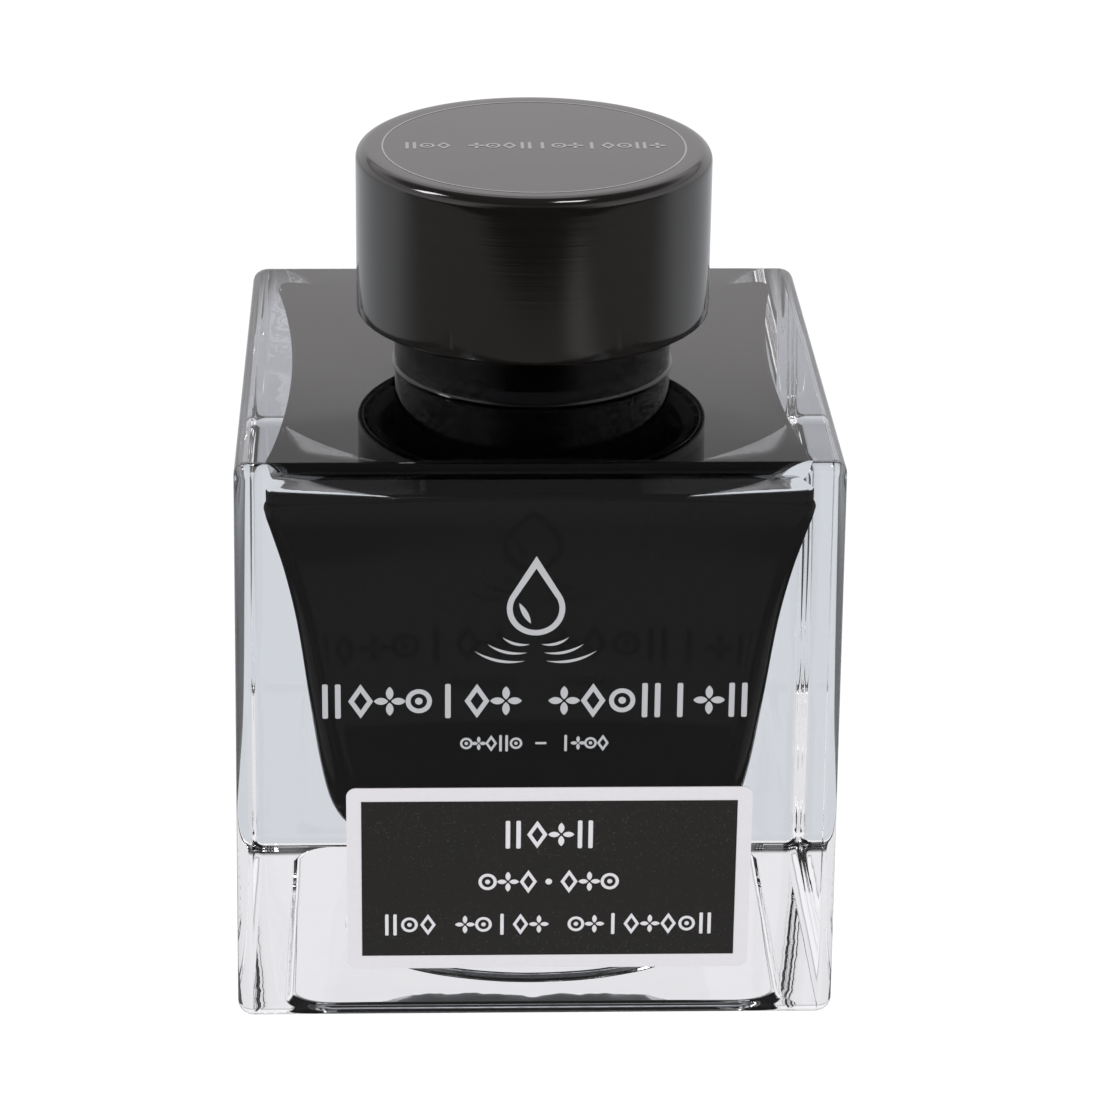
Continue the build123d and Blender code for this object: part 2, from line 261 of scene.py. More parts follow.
# ---- material helpers --------------------------------------------------------------------
@dataclass
class Paint:
    """A material under construction: its nodes, its links and its main shader."""

    name: str
    material: bpy.types.Material = field(init=False)
    shader: bpy.types.Node = field(init=False)

    def __post_init__(self) -> None:
        """Start the material with one Principled shader."""
        self.material = bpy.data.materials.new(self.name)
        self.material.use_nodes = True
        self.shader = next(
            n for n in self.material.node_tree.nodes if n.type == "BSDF_PRINCIPLED"
        )

    def set(self, **values: object) -> None:
        """Set plain values on the shader's own sockets; an underscore stands for a space."""
        for key, value in values.items():
            self.shader.inputs[key.replace("_", " ")].default_value = value

    def node(self, kind: str, **values: object) -> bpy.types.Node:
        """Add a node and set its properties.

        Args:
            kind: The node's type name.
            **values: Properties, or input values under the input's name.

        Returns:
            The new node.
        """
        return put(self.material.node_tree, kind, **values)

    def link(self, source: bpy.types.NodeSocket, target: bpy.types.NodeSocket) -> None:
        """Link two sockets."""
        self.material.node_tree.links.new(source, target)

    def feed(self, source: bpy.types.NodeSocket, socket: str) -> None:
        """Link an output to an input of the main shader."""
        self.link(source, self.shader.inputs[socket])

    def place(self) -> bpy.types.NodeSocket:
        """Give the object coordinates."""
        return self.node("ShaderNodeTexCoord").outputs["Object"]

    def bump(self, height: bpy.types.NodeSocket, strength: float, distance: float) -> None:
        """Raise the surface by a height, in metres at full height.

        Args:
            height: What says the height.
            strength: How strongly it shows.
            distance: The real height of a full step.
        """
        node = self.node("ShaderNodeBump", Strength=strength, Distance=distance)
        self.link(height, node.inputs["Height"])
        self.feed(node.outputs["Normal"], "Normal")

    def group(self, tree: bpy.types.NodeTree, **values: object) -> bpy.types.Node:
        """Place a shared effect and set its inputs.

        Args:
            tree: The node group.
            **values: Its input values.

        Returns:
            The group node, fed with object coordinates.
        """
        node = self.node("ShaderNodeGroup", node_tree=tree, **values)
        self.link(self.place(), node.inputs["Place"])
        return node


def put(tree: bpy.types.NodeTree, kind: str, **values: object) -> bpy.types.Node:
    """Add a node to a tree and set its properties and input values.

    Args:
        tree: The node tree.
        kind: The node's type name.
        **values: Properties, or input values under the input's name.

    Returns:
        The new node.
    """
    node = tree.nodes.new(kind)
    for key, value in values.items():
        if key == "node_tree" or hasattr(node, key):
            setattr(node, key, value)
        else:
            node.inputs[key.replace("_", " ")].default_value = value
    return node


def effect(name: str, inputs: dict[str, float], outputs: Iterable[str]) -> tuple:
    """Start a shared effect with a Place input.

    Args:
        name: The group's name.
        inputs: Number inputs with their usual values.
        outputs: Number outputs.

    Returns:
        The tree, its input node and its output node.
    """
    tree = bpy.data.node_groups.new(name, "ShaderNodeTree")
    tree.interface.new_socket("Place", in_out="INPUT", socket_type="NodeSocketVector")
    for key, value in inputs.items():
        socket = tree.interface.new_socket(key, in_out="INPUT", socket_type="NodeSocketFloat")
        socket.default_value = value
    for key in outputs:
        tree.interface.new_socket(key, in_out="OUTPUT", socket_type="NodeSocketFloat")
    return tree, tree.nodes.new("NodeGroupInput"), tree.nodes.new("NodeGroupOutput")


def grain_effect() -> bpy.types.NodeTree:
    """Build the fine grain that paper, print, foam and moulded plastic share.

    Returns:
        A group that puts out a soft grain and small sparse specks.
    """
    tree, inside, outside = effect(
        "fine_grain", {"Scale": 2500.0, "Specks": 0.72}, ("Grain", "Speck")
    )
    soft = put(tree, "ShaderNodeTexNoise", Detail=4.0, Roughness=0.6)
    spots = put(tree, "ShaderNodeTexNoise", Detail=1.0, Roughness=0.4)
    edge = put(tree, "ShaderNodeMath", operation="SUBTRACT")
    sharp = put(tree, "ShaderNodeMath", operation="MULTIPLY")
    sharp.inputs[1].default_value = 14.0
    sharp.use_clamp = True
    half = put(tree, "ShaderNodeMath", operation="MULTIPLY")
    half.inputs[1].default_value = 0.8
    for source, target in (
        (inside.outputs["Place"], soft.inputs["Vector"]),
        (inside.outputs["Scale"], soft.inputs["Scale"]),
        (inside.outputs["Place"], spots.inputs["Vector"]),
        (inside.outputs["Scale"], half.inputs[0]),
        (half.outputs[0], spots.inputs["Scale"]),
        (spots.outputs["Fac"], edge.inputs[0]),
        (inside.outputs["Specks"], edge.inputs[1]),
        (edge.outputs[0], sharp.inputs[0]),
        (soft.outputs["Fac"], outside.inputs["Grain"]),
        (sharp.outputs[0], outside.inputs["Speck"]),
    ):
        tree.links.new(source, target)
    return tree


def wear_effect() -> bpy.types.NodeTree:
    """Build the faint handling marks that the cap, the glass and the label share.

    Returns:
        A group that puts out a slow, patchy value from 0 to 1.
    """
    tree, inside, outside = effect("handling", {"Scale": 60.0, "Low": 0.35, "High": 0.65}, ("Patch",))
    slow = put(tree, "ShaderNodeTexNoise", Detail=5.0, Roughness=0.55, Distortion=0.6)
    spread = put(tree, "ShaderNodeMapRange", interpolation_type="SMOOTHSTEP")
    for source, target in (
        (inside.outputs["Place"], slow.inputs["Vector"]),
        (inside.outputs["Scale"], slow.inputs["Scale"]),
        (slow.outputs["Fac"], spread.inputs["Value"]),
        (inside.outputs["Low"], spread.inputs["From Min"]),
        (inside.outputs["High"], spread.inputs["From Max"]),
        (spread.outputs[0], outside.inputs["Patch"]),
    ):
        tree.links.new(source, target)
    return tree


# ---- finishes ----------------------------------------------------------------------------
@dataclass(frozen=True)
class ClearGlass:
    """Heavy pressed glass, faintly blue, with the slow waves of a moulded surface."""

    tint: tuple[float, float, float, float] = (0.955, 0.975, 1.0, 1.0)
    ior: float = 1.5
    wave: float = 0.010
    mould_wave: float = 0.016

    def make(self, wear: bpy.types.NodeTree) -> bpy.types.Material:
        """Make the glass.

        Args:
            wear: The shared handling marks.

        Returns:
            The finished material.
        """
        paint = Paint("clear_glass")
        paint.set(Base_Color=self.tint, IOR=self.ior, Transmission_Weight=1.0, Roughness=0.0)
        self.ripple(paint)
        marks = paint.group(wear, Scale=140.0, Low=0.62, High=0.8)
        rough = paint.node("ShaderNodeMath", operation="MULTIPLY")
        rough.inputs[1].default_value = 0.006
        paint.link(marks.outputs["Patch"], rough.inputs[0])
        paint.feed(rough.outputs[0], "Roughness")
        return paint.material

    def ripple(self, paint: Paint) -> None:
        """Lean the surface a little to and fro, more near the foot, where the mould closed.

        Args:
            paint: The glass under construction.
        """
        place = paint.place()
        lean = paint.node("ShaderNodeNewGeometry").outputs["Normal"]
        split = paint.node("ShaderNodeSeparateXYZ")
        paint.link(place, split.inputs[0])
        low = paint.node("ShaderNodeMapRange", interpolation_type="SMOOTHSTEP")
        low.inputs["From Min"].default_value = 0.016
        low.inputs["From Max"].default_value = 0.004
        low.inputs["To Max"].default_value = self.mould_wave
        paint.link(split.outputs["Z"], low.inputs["Value"])
        for scale, size in ((70.0, None), (330.0, low.outputs[0])):
            noise = paint.node("ShaderNodeTexNoise", Scale=scale, Detail=2.0, Roughness=0.45)
            middle = paint.node("ShaderNodeVectorMath", operation="SUBTRACT")
            middle.inputs[1].default_value = (0.5, 0.5, 0.5)
            much = paint.node("ShaderNodeVectorMath", operation="SCALE")
            much.inputs["Scale"].default_value = self.wave
            total = paint.node("ShaderNodeVectorMath", operation="ADD")
            paint.link(place, noise.inputs["Vector"])
            paint.link(noise.outputs["Color"], middle.inputs[0])
            paint.link(middle.outputs[0], much.inputs[0])
            if size is not None:
                paint.link(size, much.inputs["Scale"])
            paint.link(lean, total.inputs[0])
            paint.link(much.outputs[0], total.inputs[1])
            lean = total.outputs[0]
        unit = paint.node("ShaderNodeVectorMath", operation="NORMALIZE")
        paint.link(lean, unit.inputs[0])
        paint.feed(unit.outputs[0], "Normal")


@dataclass(frozen=True)
class BlackInk:
    """Still black ink against the inside of the glass."""

    colour: tuple[float, float, float, float] = (0.0016, 0.0016, 0.0022, 1.0)

    def make(self, wear: bpy.types.NodeTree) -> bpy.types.Material:
        """Make the ink.

        Args:
            wear: The shared handling marks.

        Returns:
            The finished material.
        """
        paint = Paint("black_ink")
        paint.set(Base_Color=self.colour, IOR=1.34, Roughness=0.08, Specular_IOR_Level=0.15)
        cloud = paint.group(wear, Scale=45.0, Low=0.3, High=0.8)
        mix = paint.node("ShaderNodeMix", data_type="RGBA")
        mix.inputs["A"].default_value = self.colour
        mix.inputs["B"].default_value = tuple(c * 1.7 for c in self.colour[:3]) + (1.0,)
        paint.link(cloud.outputs["Patch"], mix.inputs["Factor"])
        paint.feed(mix.outputs["Result"], "Base Color")
        return paint.material


@dataclass(frozen=True)
class BlackAnodised:
    """Black anodised aluminium, turned, with fine rings and a deep gloss."""

    colour: tuple[float, float, float, float] = (0.0045, 0.0041, 0.0037, 1.0)
    ring_pitch: float = 0.00035

    def make(self, wear: bpy.types.NodeTree) -> bpy.types.Material:
        """Make the anodised finish.

        Args:
            wear: The shared handling marks.

        Returns:
            The finished material.
        """
        paint = Paint("black_anodised")
        paint.set(Base_Color=self.colour, IOR=1.62, Roughness=0.16)
        place = paint.place()
        rings = paint.node("ShaderNodeTexNoise", Detail=6.0, Roughness=0.7)
        stretch = paint.node("ShaderNodeMapping")
        stretch.inputs["Scale"].default_value = (18.0, 18.0, 1.0 / self.ring_pitch)
        rings.inputs["Scale"].default_value = 1.0
        paint.link(place, stretch.inputs["Vector"])
        paint.link(stretch.outputs["Vector"], rings.inputs["Vector"])
        paint.bump(rings.outputs["Fac"], 0.2, 0.00002)
        marks = paint.group(wear, Scale=70.0, Low=0.35, High=0.7)
        rough = paint.node("ShaderNodeMapRange")
        rough.inputs["To Min"].default_value = 0.05
        rough.inputs["To Max"].default_value = 0.11
        paint.link(marks.outputs["Patch"], rough.inputs["Value"])
        paint.feed(rough.outputs[0], "Roughness")
        tone = paint.node("ShaderNodeMix", data_type="RGBA")
        tone.inputs["A"].default_value = self.colour
        tone.inputs["B"].default_value = (0.0115, 0.0098, 0.0080, 1.0)
        paint.link(rings.outputs["Fac"], tone.inputs["Factor"])
        paint.feed(tone.outputs["Result"], "Base Color")
        return paint.material


@dataclass(frozen=True)
class Coated:
    """A dry surface with a grain: paper, print, enamel, plastic or foam."""

    name: str
    colour: tuple[float, float, float]
    other: tuple[float, float, float]
    roughness: float
    scale: float = 2500.0
    specks: float = 0.72
    relief: float = 0.000004
    speck_colour: tuple[float, float, float] | None = None

    def make(self, grain: bpy.types.NodeTree, wear: bpy.types.NodeTree) -> bpy.types.Material:
        """Make the finish.

        Args:
            grain: The shared grain.
            wear: The shared handling marks.

        Returns:
            The finished material.
        """
        paint = Paint(self.name)
        paint.set(Roughness=self.roughness)
        fine = paint.group(grain, Scale=self.scale, Specks=self.specks)
        tone = paint.node("ShaderNodeMix", data_type="RGBA")
        tone.inputs["A"].default_value = self.colour + (1.0,)
        tone.inputs["B"].default_value = self.other + (1.0,)
        paint.link(fine.outputs["Grain"], tone.inputs["Factor"])
        result = tone.outputs["Result"]
        if self.speck_colour is not None:
            dots = paint.node("ShaderNodeMix", data_type="RGBA")
            dots.inputs["B"].default_value = self.speck_colour + (1.0,)
            paint.link(result, dots.inputs["A"])
            paint.link(fine.outputs["Speck"], dots.inputs["Factor"])
            result = dots.outputs["Result"]
        paint.feed(result, "Base Color")
        paint.bump(fine.outputs["Grain"], 0.6, self.relief)
        marks = paint.group(wear, Scale=80.0, Low=0.3, High=0.75)
        rough = paint.node("ShaderNodeMapRange")
        rough.inputs["To Min"].default_value = self.roughness * 0.85
        rough.inputs["To Max"].default_value = min(1.0, self.roughness * 1.15)
        paint.link(marks.outputs["Patch"], rough.inputs["Value"])
        paint.feed(rough.outputs[0], "Roughness")
        return paint.material


# ---- the bottle --------------------------------------------------------------------------
@dataclass
class Chamber:
    """The ink chamber: a square funnel whose four walls bow inward, with a rounded floor."""

    shoulder_half: float
    ceiling: float
    floor: float = 13.2
    edge: float = 0.9
    side_steps: int = 22
    corner_steps: int = 8
    # share of the height from the ceiling down, glass outside the corners, bow, corner radius
    sections: tuple[tuple[float, float, float, float], ...] = (
        (0.0, 2.25, 2.1, 1.0),
        (0.034, 2.35, 2.1, 1.0),
        (0.09, 2.85, 2.05, 1.2),
        (0.20, 3.85, 1.9, 1.5),
        (0.345, 4.8, 1.75, 1.9),
        (0.57, 5.8, 1.5, 2.4),
        (0.78, 6.85, 1.3, 3.0),
        (0.89, 7.9, 1.1, 3.8),
        (0.958, 9.8, 0.8, 4.4),
        (1.0, 12.6, 0.6, 4.4),
    )

    def at(self, share: float) -> tuple[float, float, float]:
        """Read the wall, bow and corner radius at a height, on a smooth curve.

        Args:
            share: Share of the height from the ceiling down.

        Returns:
            The three values in millimetres.
        """
        rows = self.sections
        i = max(k for k in range(len(rows) - 1) if rows[k][0] <= share)
        before, low, high = rows[max(i - 1, 0)], rows[i], rows[i + 1]
        after = rows[min(i + 2, len(rows) - 1)]
        span = high[0] - low[0]
        t = (share - low[0]) / span
        out = []
        for k in (1, 2, 3):
            first = (high[k] - before[k]) / max(high[0] - before[0], 1e-9) * span
            last = (after[k] - low[k]) / max(after[0] - low[0], 1e-9) * span
            out.append(
                (2 * t**3 - 3 * t**2 + 1) * low[k]
                + (t**3 - 2 * t**2 + t) * first
                + (3 * t**2 - 2 * t**3) * high[k]
                + (t**3 - t**2) * last
            )
        return out[0], out[1], out[2]

    def ring(self, z: float, wall: float, bow: float, radius: float) -> Ring:
        """Draw one level outline: four bowed sides joined by round corners.

        Args:
            z: Its height.
            wall: Glass outside the corners.
            bow: How far each side leans in at its middle.
            radius: Corner radius.

        Returns:
            The outline's points in metres.
        """
        c = self.shoulder_half - wall
        lean = math.atan(2 * bow / c)
        half = math.pi / 4 - lean
        reach = radius / math.tan(half)
        end = c - reach * math.cos(lean)
        away = radius / math.sin(half) / math.sqrt(2)
        side = []
        for i in range(self.side_steps + 1):
            x = -end + 2 * end * i / self.side_steps
            side.append((x, -(c - bow + bow * (x / c) ** 2)))
        for i in range(1, self.corner_steps):
            sweep = math.pi / 2 + 2 * lean
            angle = -math.pi / 2 - lean + sweep * i / self.corner_steps
            side.append((c - away + radius * math.cos(angle), -c + away + radius * math.sin(angle)))
        points = []
        for quarter in range(4):
            cos, sin = ((1, 0), (0, 1), (-1, 0), (0, -1))[quarter]
            points += [Vector((x * cos - y * sin, x * sin + y * cos, z)) * MM for x, y in side]
        return points

    def build(self, name: str, grow: float = 0.0) -> bpy.types.Object:
        """Make the chamber as a solid.

        Args:
            name: The name of the new object.
            grow: How far it stands outside the real surface, in millimetres.

        Returns:
            The closed mesh.
        """
        height = self.ceiling - self.floor
        rings = []
        for i in range(5):
            turn = math.pi / 2 * i / 5
            wall, bow, radius = self.at(1.0)
            inset = 2.2 * (1 - math.sin(turn))
            z = self.floor + 0.35 * (1 - math.cos(turn))
            rings.append(self.ring(z - grow, wall + inset - grow, bow, radius))
        shares = [1.0 - 0.11 * (k / 8) for k in range(8)]
        shares += [0.89 - (0.89 - self.edge / height) * k / 30 for k in range(31)]
        for share in shares:
            wall, bow, radius = self.at(share)
            z = self.ceiling - share * height + 0.35 * max(0.0, (share - 0.95) / 0.05)
            rings.append(self.ring(z, wall - grow, bow, radius))
        for i in range(1, 7):
            turn = math.pi / 2 * i / 6
            wall, bow, radius = self.at(self.edge / height * (1 - math.sin(turn)))
            inset = self.edge * (1 - math.cos(turn))
            z = self.ceiling - self.edge * (1 - math.sin(turn)) + grow * math.sin(turn)
            rings.append(self.ring(z, wall + inset - grow, bow, radius))
        return stack(name, rings)


@dataclass
class Bottle:
    """The pressed glass bottle, its ink and the ink film in its neck. Sizes in millimetres."""

    foot: float = 54.2
    lean: float = 0.6
    height: float = 53.95
    corner: float = 1.5
    top_edge: float = 1.25
    foot_edge: float = 1.3
    neck_r: float = 12.65
    thread_depth: float = 1.05
    bore_r: float = 9.7
    neck_foot: float = 0.45
    lip: float = 0.7
    lead: float = 25.4 / 6
    turns: float = 1.25
    thread_start: float = 2.2
    shoulder: float = 3.85
    foot_rim: float = 4.4
    recess: float = 0.7
    recess_corner: float = 4.0
    recess_longer: float = 2.3
    punt_r: float = 17.5
    punt: float = 0.5
    studs: int = 28
    stud_in: float = 2.6
    pocket_r: float = 26.0
    pocket: float = 0.12
    pocket_rise: float = 7.0
    rim: float = field(init=False)
    chamber: Chamber = field(init=False)

    def __post_init__(self) -> None:
        """Read the rim from the frame and lay out the chamber."""
        self.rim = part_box("glass_bottle")[1].z / MM
        self.chamber = Chamber(self.foot / 2 - self.lean, self.height - self.shoulder)

    def block(self) -> bpy.types.Object:
        """Model the square block with its leaning sides and rounded edges.

        Returns:
            The solid block.
        """
        bpy.ops.object.select_all(action="DESELECT")
        bpy.ops.mesh.primitive_cube_add(size=1.0, location=(0, 0, self.height / 2 * MM))
        obj = rename(bpy.context.object, "bottle_glass")
        bpy.ops.transform.resize(value=(self.foot * MM, self.foot * MM, self.height * MM))
        settle(obj)
        top = self.height * MM
        bpy.ops.object.mode_set(mode="EDIT")
        choose(obj, "VERT", lambda v: v.co.z > top * 0.9)
        share = 1 - 2 * self.lean / self.foot
        bpy.ops.transform.resize(
            value=(share, share, 1.0), center_override=(0.0, 0.0, top)
        )
        choose(obj, "EDGE", lambda e: abs(e.verts[0].co.z - e.verts[1].co.z) > top * 0.5)
        bpy.ops.mesh.bevel(offset=self.corner * MM, segments=8, profile=0.5, affect="EDGES")
        choose(obj, "EDGE", lambda e: all(v.co.z > top * 0.999 for v in e.verts))
        bpy.ops.mesh.bevel(offset=self.top_edge * MM, segments=6, profile=0.5, affect="EDGES")
        choose(obj, "EDGE", lambda e: all(v.co.z < top * 0.001 for v in e.verts))
        bpy.ops.mesh.bevel(offset=self.foot_edge * MM, segments=6, profile=0.5, affect="EDGES")
        bpy.ops.mesh.select_all(action="SELECT")
        bpy.ops.mesh.normals_make_consistent(inside=False)
        bpy.ops.object.mode_set(mode="OBJECT")
        return obj

    def neck(self) -> bpy.types.Object:
        """Model the neck with its swept foot and rounded rim.

        Returns:
            The solid neck.
        """
        foot = bend(
            self.neck_r + self.neck_foot, self.height + self.neck_foot - 0.03,
            self.neck_foot, 262, 180, 7,
        )
        rim = bend(self.neck_r - self.lip, self.rim - self.lip, self.lip, 0, 90, 6)
        outline = [(foot[0][0], self.height - 1.2), *foot, *rim]
        return turned("neck_tool", outline, 192)

    def thread(self) -> bpy.types.Object:
        """Model the helical bead of the screw finish, run out at both ends.

        Returns:
            The solid bead.
        """
        section = [
            (-0.25, -1.32), (0.0, -1.25), (0.55, -0.95), (0.92, -0.68), (1.05, -0.4),
            (1.05, 0.4), (0.92, 0.68), (0.55, 0.95), (0.0, 1.25), (-0.25, 1.32),
        ]
        start = self.rim - self.thread_start - self.turns * self.lead
        steps = 150
        rings = []
        for i in range(steps + 1):
            turn = math.tau * self.turns * i / steps
            from_end = min(i, steps - i) / steps * 360 * self.turns
            rise = math.sin(math.radians(min(from_end / 24.0, 1.0) * 90))
            z = start + self.lead * turn / math.tau
            rings.append([
                Vector((
                    (self.neck_r + (r if r < 0 else r * rise - 0.12 * (1 - rise))) * math.cos(turn),
                    (self.neck_r + (r if r < 0 else r * rise - 0.12 * (1 - rise))) * math.sin(turn),
                    z + h * (0.55 + 0.45 * rise),
                )) * MM
                for r, h in section
            ])
        return stack("thread_tool", rings)

    def bore(self) -> bpy.types.Object:
        """Model the space in the neck, flared at the throat and at the rim.

        Returns:
            The solid to take away.
        """
        ceiling = self.chamber.ceiling
        throat = bend(self.bore_r + 0.8, ceiling + 0.8, 0.8, 262, 180, 6)
        lip = bend(self.bore_r + self.lip, self.rim - self.lip, self.lip, 180, 98, 6)
        outline = [(throat[0][0], ceiling - 0.4), *throat, *lip, (lip[-1][0] + 0.1, self.rim + 1)]
        return turned("bore_tool", outline, 160)

    def square_recess(self) -> bpy.types.Object:
        """Model the shallow square space under the foot, with round corners and leaning sides.

        Returns:
            The solid to take away.
        """
        half = self.foot / 2 - self.foot_rim
        rings = []
        for z, inset in ((-1.0, -0.35), (-0.02, -0.2), (0.12, 0.0), (0.5, 0.3), (0.64, 0.5),
                         (self.recess, 0.9)):
            side, r = half - inset, self.recess_corner - inset * 0.6
            ring = []
            for quarter in range(4):
                for i in range(13):
                    angle = math.radians(90 * quarter + 90 * i / 12)
                    cx = (side - r) * (1 if quarter in (0, 3) else -1)
                    cy = (side + self.recess_longer - r) * (1 if quarter in (0, 1) else -1)
                    ring.append(
                        Vector((cx + r * math.cos(angle), cy + r * math.sin(angle), z)) * MM
                    )
            rings.append(ring)
        return stack("recess_tool", rings)

    def push_up(self) -> bpy.types.Object:
        """Model the round push-up in the roof of the recess.

        Returns:
            The solid to take away.
        """
        r, roof = self.punt_r, self.recess + self.punt
        outline = [(r + 0.05, self.recess - 0.3), (r + 0.05, self.recess)]
        outline += bend(r - 0.35, roof - 0.35, 0.35, 0, 90, 6)
        outline += [(r * 0.6, roof), (2.0, roof)]
        return turned("push_up_tool", outline, 192)

    def stud_ring(self) -> bpy.types.Object:
        """Model one round stud, and copy it round the underside of the foot.

        Returns:
            All studs as one object.
        """
        roof = self.recess + self.punt
        outline = [(0.58, roof + 0.3), (0.58, roof - 0.1)]
        outline += bend(0.28, roof - 0.1, 0.3, 0, -90, 4) + [(0.02, roof - 0.42)]
        first = turned("stud_tool", outline, 20)
        studs = [first]
        for i in range(self.studs):
            copy = first if i == 0 else first.copy()
            if i:
                copy.data = first.data.copy()
                bpy.context.collection.objects.link(copy)
                studs.append(copy)
        for i, stud in enumerate(studs):
            angle = math.tau * i / self.studs
            reach = (self.punt_r - self.stud_in) * MM
            stud.data.transform(
                Matrix.Translation((reach * math.cos(angle), reach * math.sin(angle), 0))
            )
        bpy.ops.object.select_all(action="DESELECT")
        for stud in studs:
            stud.select_set(True)
        bpy.context.view_layer.objects.active = first
        bpy.ops.object.join()
        return first

    def corner_room(self, name: str, down: float, inset: float) -> bpy.types.Object:
        """Model the four upper corners of the chamber, whose roofs rise outward.

        Args:
            name: The name of the new object.
            down: How far its roof lies under the glass.
            inset: How far its sides stand in from the chamber's.

        Returns:
            The closed form.
        """
        top, far = self.chamber.ceiling, 36.0
        rise = (far - self.pocket_r) * math.tan(math.radians(self.pocket_rise))
        outline = [(0.5, top - 1.2), (far, top - 1.2), (far, top + rise - down)]
        outline += [(self.pocket_r, top - down), (self.pocket_r - 0.4, top - 0.6), (0.5, top - 0.6)]
        room = turned(name, outline, 360)
        wall, bow, radius = self.chamber.at(0.0)
        plan = [self.chamber.ring(z, wall + inset, bow, radius) for z in (top - 2.0, top + 3.0)]
        combine(room, stack("plan_tool", plan), Cut.KEEP_SHARED)
        return room

    def glass(self) -> bpy.types.Object:
        """Put the glass together as one solid with its chamber and bore.

        Returns:
            The finished glass.
        """
        obj = self.block()
        combine(obj, self.neck(), Cut.JOIN)
        combine(obj, self.thread(), Cut.JOIN)
        combine(obj, self.chamber.build("chamber_tool"), Cut.TAKE_AWAY)
        combine(obj, self.corner_room("air_tool", 0.0, 0.25), Cut.TAKE_AWAY)
        combine(obj, self.bore(), Cut.TAKE_AWAY)
        combine(obj, self.square_recess(), Cut.TAKE_AWAY)
        combine(obj, self.push_up(), Cut.TAKE_AWAY)
        combine(obj, self.stud_ring(), Cut.JOIN)
        polish(obj)
        return obj

    def ink(self) -> bpy.types.Object:
        """Model the ink, which wets the glass and leaves air in its two upper front corners.

        Returns:
            The finished ink.
        """
        obj = self.chamber.build("ink", grow=0.03)
        combine(obj, self.corner_room("rise_tool", self.pocket, 0.22), Cut.JOIN)
        wet = self.corner_room("wet_tool", -0.03, 0.22)
        only(wet)
        bpy.ops.object.mode_set(mode="EDIT")
        bpy.ops.mesh.select_all(action="SELECT")
        bpy.ops.mesh.bisect(
            plane_co=(0.0, 0.0, 0.0), plane_no=(0.0, 1.0, 0.0), use_fill=True, clear_inner=True
        )
        bpy.ops.mesh.select_all(action="SELECT")
        bpy.ops.mesh.normals_make_consistent(inside=False)
        bpy.ops.object.mode_set(mode="OBJECT")
        combine(obj, wet, Cut.JOIN)
        polish(obj)
        return obj

    def film(self) -> bpy.types.Object:
        """Model the ink that clings to the inside of the neck.

        Returns:
            The finished film, a thin cup standing on the ink.
        """
        low, skin = self.chamber.ceiling - 0.4, 0.03
        throat = bend(self.bore_r + 0.8, low + 1.2, 0.8 - skin, 262, 180, 6)
        inner = self.bore_r - 0.06
        outline = [(0.5, low), (throat[0][0], low), *throat, (self.bore_r + skin, self.rim - 0.9)]
        outline += [(inner, self.rim - 0.95), (inner, low + 0.9), (inner - 0.5, low + 0.3)]
        outline += [(0.5, low + 0.3)]
        obj = turned("ink_film", outline, 160)
        polish(obj)
        return obj


@dataclass
class Cap:
    """The cap: a drawn aluminium shell over a moulded insert. Sizes in millimetres."""

    shell_t: float = 0.6
    edge: float = 1.0
    hem: float = 0.24

    def shell(self) -> bpy.types.Object:
        """Model the shell from the inside of its top round its rim and back over the outside.

        Returns:
            The finished shell.
        """
        low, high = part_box("cap_shell")
        outer, bottom, top = high.x / MM, low.z / MM, high.z / MM
        inner, roof = outer - self.shell_t, top - self.shell_t
        outline = [(0.5, roof), (inner - 3.0, roof)]
        outline += bend(inner - 0.4, roof - 0.4, 0.4, 90, 0, 4)
        outline += [(inner, (roof + bottom) / 2)]
        outline += bend(inner + self.hem, bottom + self.hem, self.hem, 180, 270, 4)
        outline += bend(outer - self.hem, bottom + self.hem, self.hem, 270, 360, 4)
        outline += [(outer, bottom + 1.2), (outer, (top + bottom) / 2), (outer, top - 1.6)]
        outline += bend(outer - self.edge, top - self.edge, self.edge, 0, 90, 8)
        outline += [(outer - self.edge - 0.7, top), (outer * 0.5, top), (0.5, top)]
        obj = turned("cap_shell_turned", outline, 256)
        polish(obj)
        return obj


